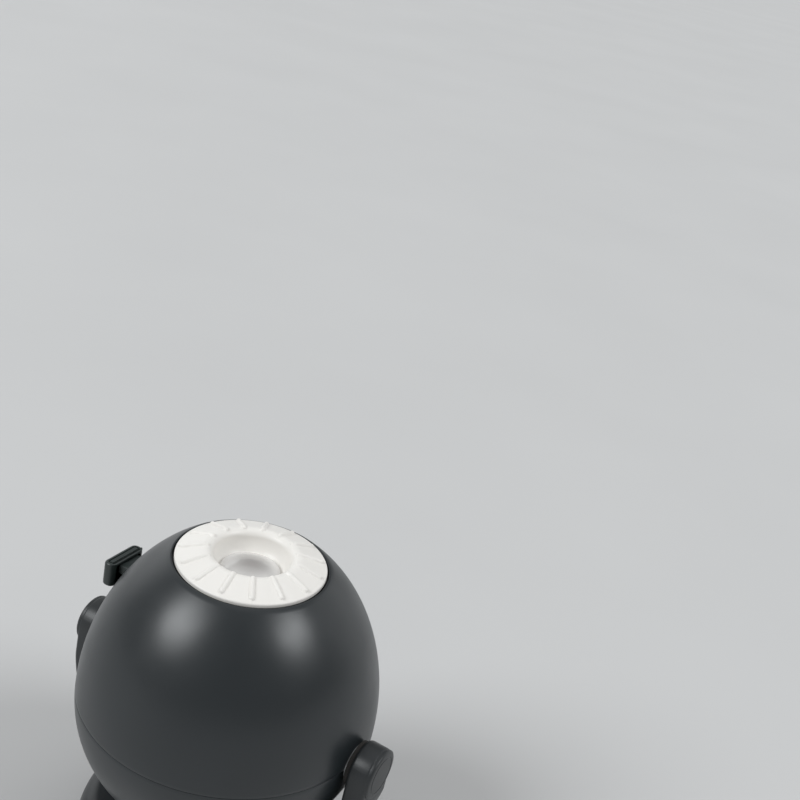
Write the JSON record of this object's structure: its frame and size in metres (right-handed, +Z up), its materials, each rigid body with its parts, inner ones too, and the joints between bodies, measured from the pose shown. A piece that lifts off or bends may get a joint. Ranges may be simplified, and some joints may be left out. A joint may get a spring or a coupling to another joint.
{
  "type": "planetarium projector",
  "caption": "Egg-shaped star projector head with a ribbed white focus ring, tilting in a two-armed table stand, with a slide-out star disc tray.",
  "frame": {"origin": "centre of the footprint, on the table under the rubber feet", "axes": "+Z up along the head's axis at rest, +X to the right along the tilt axis, -Y to the front, the way the head tilts down"},
  "size_m": [0.1772, 0.1474, 0.1749],
  "materials": {
    "head_shell": "satin moulded charcoal plastic",
    "stand_shell": "satin moulded dark charcoal plastic",
    "inner_plastic": "matt black moulded plastic",
    "white_plastic": "plain white plastic",
    "ring_white": "satin warm white plastic",
    "tray_plastic": "satin dark green-grey plastic",
    "panel_plastic": "fine matt texture",
    "lens_glass": "polished clear",
    "lamp_resin": "cast resin",
    "board_white": "solder mask",
    "board_green": "solder mask",
    "foot_rubber": "matt",
    "screw_steel": "plated",
    "turned_aluminium": "machined",
    "ballast_iron": "bare casting",
    "cell_wrap": "printed sleeve left plain",
    "star_film": "dark film with clear dots",
    "button_red": "satin",
    "button_grey": "satin"
  },
  "bodies": {
    "stand": {"base_shell": "stand_shell", "base_plate": "inner_plastic", "ballast_weight": "ballast_iron", "rubber_feet": "foot_rubber", "base_screws": "screw_steel", "yoke_arm_left": "stand_shell", "yoke_arm_right": "stand_shell", "arm_screws": "screw_steel", "friction_washers": "foot_rubber", "arm_cap_left": "stand_shell", "arm_cap_right": "stand_shell"},
    "head": {"upper_shell": "head_shell", "lower_shell": "head_shell", "shell_screws": "screw_steel", "trunnion_left": "turned_aluminium", "trunnion_right": "turned_aluminium", "pivot_washers": "screw_steel", "pivot_screws": "screw_steel", "ring_bush": "inner_plastic", "lens_guide": "inner_plastic", "tray_rails": "inner_plastic", "chassis_plate": "inner_plastic", "chassis_screws": "screw_steel", "condenser_holder": "inner_plastic", "condenser_lens": "lens_glass", "light_reflector": "white_plastic", "led_lamp": "lamp_resin", "led_board": "board_white", "heat_sink": "turned_aluminium", "drive_motor": "screw_steel", "control_panel": "panel_plastic", "switch_bodies": "inner_plastic", "control_board": "board_green", "battery_box": "inner_plastic", "battery_cells": "cell_wrap", "contact_springs": "screw_steel", "contact_plates": "screw_steel"},
    "focus_ring": {"focus_ring": "ring_white", "ring_clip": "screw_steel"},
    "lens": {"lens_barrel": "inner_plastic", "front_lens": "lens_glass", "rear_lens": "lens_glass", "lens_retainer": "inner_plastic"},
    "tray": {"disc_tray": "tray_plastic"},
    "disc": {"star_disc": "tray_plastic", "star_film": "star_film"},
    "pinion": {"drive_pinion": "white_plastic", "motor_shaft": "screw_steel"},
    "power_button": {"power_button": "button_red"},
    "timer_button": {"timer_button": "button_grey"},
    "battery_door": {"battery_door": "head_shell"}
  },
  "joints": [
    {"name": "head_tilt", "type": "hinge", "parent": "stand", "child": "head", "pos_m": [0, 0, 0.092], "axis": [1, 0, 0], "range_deg": [-15, 90]},
    {"name": "focus_turn", "type": "hinge", "parent": "head", "child": "focus_ring", "pos_m": [0, 0, 0.168], "axis": [0, 0, 1], "range_deg": [-80, 40]},
    {"name": "lens_slide", "type": "slide", "parent": "head", "child": "lens", "axis": [0, 0, 1], "range_m": [-0.00301, 0.00151]},
    {"name": "tray_slide", "type": "slide", "parent": "head", "child": "tray", "axis": [-1, 0, 0], "range_m": [0, 0.09]},
    {"name": "disc_spin", "type": "hinge", "parent": "tray", "child": "disc", "pos_m": [0, 0, 0.133], "axis": [0, 0, 1], "continuous": true},
    {"name": "pinion_spin", "type": "hinge", "parent": "head", "child": "pinion", "pos_m": [0.0288, 0, 0.133], "axis": [0, 0, 1], "continuous": true},
    {"name": "power_press", "type": "slide", "parent": "head", "child": "power_button", "axis": [0, -1, 0], "range_m": [0, 0.0012], "stiffness_N_per_m": 600},
    {"name": "timer_press", "type": "slide", "parent": "head", "child": "timer_button", "axis": [0, -1, 0], "range_m": [0, 0.0012], "stiffness_N_per_m": 600},
    {"name": "door_lift", "type": "slide", "parent": "head", "child": "battery_door", "axis": [0, 1, 0], "range_m": [0, 0.025]}
  ],
  "couplings": [
    {"joint": "lens_slide", "follows": "focus_turn", "m_per_rad": 0.0021486},
    {"joint": "pinion_spin", "follows": "disc_spin", "ratio": -3}
  ]
}
